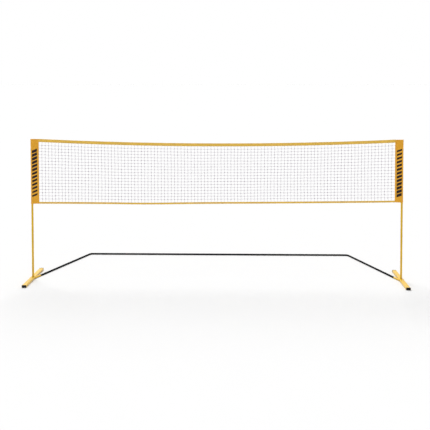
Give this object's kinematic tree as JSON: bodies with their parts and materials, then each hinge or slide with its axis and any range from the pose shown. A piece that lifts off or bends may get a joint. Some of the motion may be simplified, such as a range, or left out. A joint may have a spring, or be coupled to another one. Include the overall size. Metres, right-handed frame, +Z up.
{
  "type": "portable sports net on poles",
  "caption": "Free-standing court net between two poles on foot bars, with a black tube base behind it and poles that telescope down.",
  "frame": {"origin": "on the floor, in the middle of the ground that the stand covers", "axes": "+X along the net, +Y from the net towards the rear bar, +Z up"},
  "size_m": [4.098, 1.2778, 1.55],
  "materials": {
    "yellow_paint": "powder coat",
    "black_paint": "satin powder coat",
    "black_plastic": "moulded",
    "red_plastic": "moulded",
    "spring_steel": "bare strip",
    "sleeve_fabric": "woven polyester",
    "tape_fabric": "folded webbing",
    "net_twine": "knotted twine"
  },
  "bodies": {
    "stand": {"left_foot_bar": "yellow_paint", "left_foot_front_cap": "black_plastic", "left_foot_rear_cap": "black_plastic", "left_pole_post": "yellow_paint", "left_stub_socket": "yellow_paint", "left_side_tube": "black_paint", "left_corner_tube": "black_paint", "left_rear_tube": "black_paint", "left_snap_spring": "spring_steel", "left_lower_pole": "yellow_paint", "left_pole_bush": "black_plastic", "right_foot_bar": "yellow_paint", "right_foot_front_cap": "black_plastic", "right_foot_rear_cap": "black_plastic", "right_pole_post": "yellow_paint", "right_stub_socket": "yellow_paint", "right_side_tube": "black_paint", "right_corner_tube": "black_paint", "right_rear_tube": "black_paint", "right_snap_spring": "spring_steel", "right_lower_pole": "yellow_paint", "right_pole_bush": "black_plastic", "centre_rear_tube": "black_paint"},
    "net": {"left_upper_pole": "yellow_paint", "left_pole_top_plug": "black_plastic", "left_pole_bottom_plug": "black_plastic", "left_sleeve": "sleeve_fabric", "right_upper_pole": "yellow_paint", "right_pole_top_plug": "black_plastic", "right_pole_bottom_plug": "black_plastic", "right_sleeve": "sleeve_fabric", "top_tape": "tape_fabric", "bottom_tape": "tape_fabric", "netting": "net_twine"},
    "left_button": {"left_snap_button": "red_plastic"},
    "right_button": {"right_snap_button": "red_plastic"}
  },
  "joints": [
    {"name": "net_height", "type": "slide", "parent": "stand", "child": "net", "axis": [0, 0, 1], "range_m": [-0.635, 0]},
    {"name": "left_button_press", "type": "slide", "parent": "stand", "child": "left_button", "axis": [0, 1, 0], "range_m": [0, 0.003], "stiffness_N_per_m": 2000, "springref_m": -0.002, "deforming": ["left_snap_spring"]},
    {"name": "right_button_press", "type": "slide", "parent": "stand", "child": "right_button", "axis": [0, -1, 0], "range_m": [0, 0.003], "stiffness_N_per_m": 2000, "springref_m": -0.002, "deforming": ["right_snap_spring"]}
  ]
}
